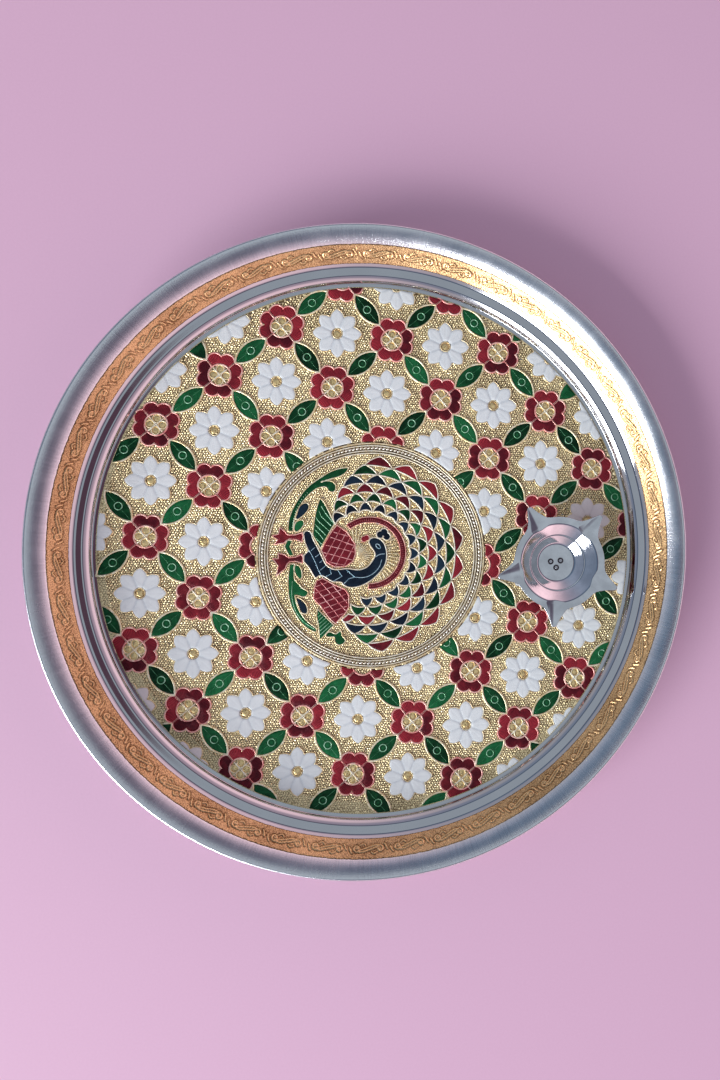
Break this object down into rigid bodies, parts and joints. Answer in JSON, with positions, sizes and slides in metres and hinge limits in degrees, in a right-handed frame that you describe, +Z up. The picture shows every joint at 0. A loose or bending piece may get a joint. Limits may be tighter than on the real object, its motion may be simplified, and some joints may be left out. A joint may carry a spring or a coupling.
{
  "type": "puja thali",
  "caption": "Round shallow steel tray with a rolled edge, an embossed gold foil floor enamelled with flowers and a peacock, a foil band round the wall and a welded wick lamp.",
  "frame": {"origin": "centre of the thali at the underside of its floor", "axes": "+Z up along the thali's axis, +X towards the lamp, +Y towards the top of the picture"},
  "size_m": [0.3034, 0.3034, 0.018],
  "materials": {
    "polished_steel": "mirror-polished stainless steel, finely brushed on the rim flange",
    "weld_steel": "heat-darkened spot weld",
    "gold_foil": "thin embossed foil, gold coloured, stippled ground",
    "red_enamel": "glossy translucent maroon lacquer",
    "white_enamel": "glossy off-white lacquer",
    "green_enamel": "glossy translucent green lacquer",
    "navy_enamel": "glossy navy lacquer"
  },
  "bodies": {
    "root": {"thali_plate": "polished_steel", "rim_band": "gold_foil", "floor_foil": "gold_foil", "red_flowers": "red_enamel", "white_flowers": "white_enamel", "green_leaves": "green_enamel", "peacock_body": "navy_enamel", "peacock_crest": "navy_enamel", "peacock_beak": "red_enamel", "peacock_legs": "red_enamel", "peacock_wings": "red_enamel", "peacock_wing_feathers": "green_enamel", "neck_ring": "red_enamel", "tail_row_1": "navy_enamel", "tail_row_2": "green_enamel", "tail_row_3": "red_enamel", "tail_row_4": "navy_enamel", "tail_row_5": "green_enamel", "tail_row_6": "red_enamel", "branch": "green_enamel", "branch_green_leaves": "green_enamel", "branch_navy_leaves": "navy_enamel", "diya_bowl": "polished_steel", "spot_welds": "weld_steel"}
  },
  "joints": []
}
